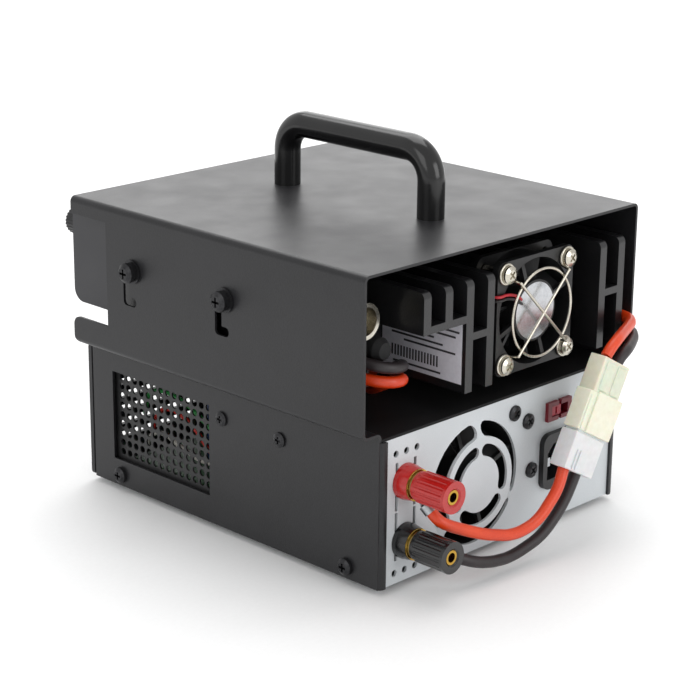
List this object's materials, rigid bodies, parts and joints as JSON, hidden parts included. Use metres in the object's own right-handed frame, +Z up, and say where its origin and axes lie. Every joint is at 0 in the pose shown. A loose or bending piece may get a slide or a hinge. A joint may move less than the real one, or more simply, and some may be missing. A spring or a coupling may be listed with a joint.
{
  "type": "bench power supply",
  "caption": "Switch-mode bench power supply with two binding posts, and a mobile radio clamped above it in a stepped steel hood with a carry handle",
  "frame": {"origin": "centre of the bounding box on the surface that the feet stand on, without the free leads", "axes": "+Z up, the rear panel with the binding posts faces +Y, the posts are on the +X side"},
  "size_m": [0.1852, 0.2283, 0.1724],
  "materials": {
    "powder_black": "satin powder coat",
    "sheet_steel": "bare zinc-plated sheet",
    "panel_grey": "matt light grey paint",
    "vent_black": "matt black paint",
    "front_plastic": "fine texture",
    "black_plastic": "moulded",
    "lamp_green": "clear",
    "rubber": "matt",
    "screw_black": "black zinc",
    "screw_nickel": "nickel plated",
    "selector_red": "moulded",
    "slider_red": "moulded",
    "post_red": "moulded",
    "post_black": "moulded",
    "gilt": "plated",
    "tinned": "tinned",
    "board": "solder resist",
    "core": "taped winding",
    "capacitor": "sleeved can",
    "alloy": "extruded",
    "handle_black": "moulded over a steel core",
    "die_cast": "black anodised",
    "bezel_grey": "smooth",
    "window": "tinted",
    "key_grey": "moulded",
    "nylon": "natural nylon",
    "insulation_red": "extruded insulation",
    "insulation_black": "extruded insulation"
  },
  "bodies": {
    "case": {"cabinet_cover": "powder_black", "chassis_base": "sheet_steel", "rear_panel": "panel_grey", "divider_plate": "sheet_steel", "side_vent_screens": "vent_black", "front_panel": "front_plastic", "rocker_frame": "black_plastic", "power_led": "lamp_green", "rubber_feet": "rubber", "cover_screws": "screw_black", "heatsink_screws": "screw_black", "panel_screws": "screw_black", "psu_fan_frame": "black_plastic", "inlet_shell": "black_plastic", "inlet_pins": "tinned", "selector_frame": "selector_red", "red_post_base": "post_red", "red_post_stud": "gilt", "black_post_base": "post_black", "black_post_stud": "gilt", "psu_board": "board", "wound_parts": "core", "capacitors": "capacitor", "heatsinks": "alloy", "carry_handle": "handle_black", "handle_screws": "tinned", "radio_screws": "screw_black", "radio_spacers": "rubber", "radio_chassis": "die_cast", "radio_top_cover": "powder_black", "radio_bezel": "bezel_grey", "display_window": "window", "mic_socket": "tinned", "radio_board": "board", "loudspeaker": "black_plastic", "antenna_socket": "screw_nickel", "cord_relief": "rubber", "radio_fan_frame": "black_plastic", "fan_guard": "screw_nickel", "guard_screws": "screw_nickel", "lead_terminals": "tinned", "lead_red": "insulation_red", "lead_black": "insulation_black", "connector_lower": "nylon", "connector_upper": "nylon", "pigtail_red": "insulation_red", "pigtail_black": "insulation_black"},
    "psu_fan_rotor": {"psu_fan_rotor": "black_plastic"},
    "radio_fan_rotor": {"radio_fan_rotor": "black_plastic"},
    "red_washer": {"red_cap_washer": "gilt"},
    "red_cap": {"red_post_cap": "post_red"},
    "black_washer": {"black_cap_washer": "gilt"},
    "black_cap": {"black_post_cap": "post_black"},
    "rocker": {"power_rocker": "black_plastic"},
    "slider": {"selector_slider": "slider_red"},
    "volume_knob": {"volume_knob": "black_plastic"},
    "channel_knob": {"channel_knob": "black_plastic"},
    "key_1": {"key_1": "key_grey"},
    "key_2": {"key_2": "key_grey"},
    "key_3": {"key_3": "key_grey"}
  },
  "joints": [
    {"name": "psu_fan_spin", "type": "hinge", "parent": "case", "child": "psu_fan_rotor", "pos_m": [0.0188, 0.075, 0.0337], "axis": [0, 1, 0], "continuous": true},
    {"name": "radio_fan_spin", "type": "hinge", "parent": "case", "child": "radio_fan_rotor", "pos_m": [-0.0205, 0.077, 0.101], "axis": [0, 1, 0], "continuous": true},
    {"name": "red_cap_travel", "type": "slide", "parent": "case", "child": "red_washer", "axis": [0, 1, 0], "range_m": [0, 0.004]},
    {"name": "red_cap_turn", "type": "hinge", "parent": "red_washer", "child": "red_cap", "pos_m": [0.0617, 0.102, 0.0465], "axis": [0, 1, 0], "range_deg": [0, 1440]},
    {"name": "black_cap_travel", "type": "slide", "parent": "case", "child": "black_washer", "axis": [0, 1, 0], "range_m": [0, 0.004]},
    {"name": "black_cap_turn", "type": "hinge", "parent": "black_washer", "child": "black_cap", "pos_m": [0.0617, 0.102, 0.0205], "axis": [0, 1, 0], "range_deg": [0, 1440]},
    {"name": "power_rocker_tilt", "type": "hinge", "parent": "case", "child": "rocker", "pos_m": [-0.048, -0.095, 0.0345], "axis": [-1, 0, 0], "range_deg": [0, 22]},
    {"name": "voltage_select", "type": "slide", "parent": "case", "child": "slider", "axis": [-1, 0, 0], "range_m": [0, 0.004]},
    {"name": "volume_turn", "type": "hinge", "parent": "case", "child": "volume_knob", "pos_m": [0.069, -0.105, 0.12], "axis": [0, -1, 0], "range_deg": [-150, 150]},
    {"name": "channel_turn", "type": "hinge", "parent": "case", "child": "channel_knob", "pos_m": [-0.062, -0.105, 0.1125], "axis": [0, -1, 0], "continuous": true},
    {"name": "key_1_press", "type": "slide", "parent": "case", "child": "key_1", "axis": [0, 1, 0], "range_m": [0, 0.0012], "stiffness_N_per_m": 400, "springref_m": -0.0008},
    {"name": "key_2_press", "type": "slide", "parent": "case", "child": "key_2", "axis": [0, 1, 0], "range_m": [0, 0.0012], "stiffness_N_per_m": 400, "springref_m": -0.0008},
    {"name": "key_3_press", "type": "slide", "parent": "case", "child": "key_3", "axis": [0, 1, 0], "range_m": [0, 0.0012], "stiffness_N_per_m": 400, "springref_m": -0.0008}
  ],
  "couplings": [
    {"joint": "red_cap_turn", "follows": "red_cap_travel", "rad_per_m": 6283.2},
    {"joint": "black_cap_turn", "follows": "black_cap_travel", "rad_per_m": 6283.2}
  ]
}
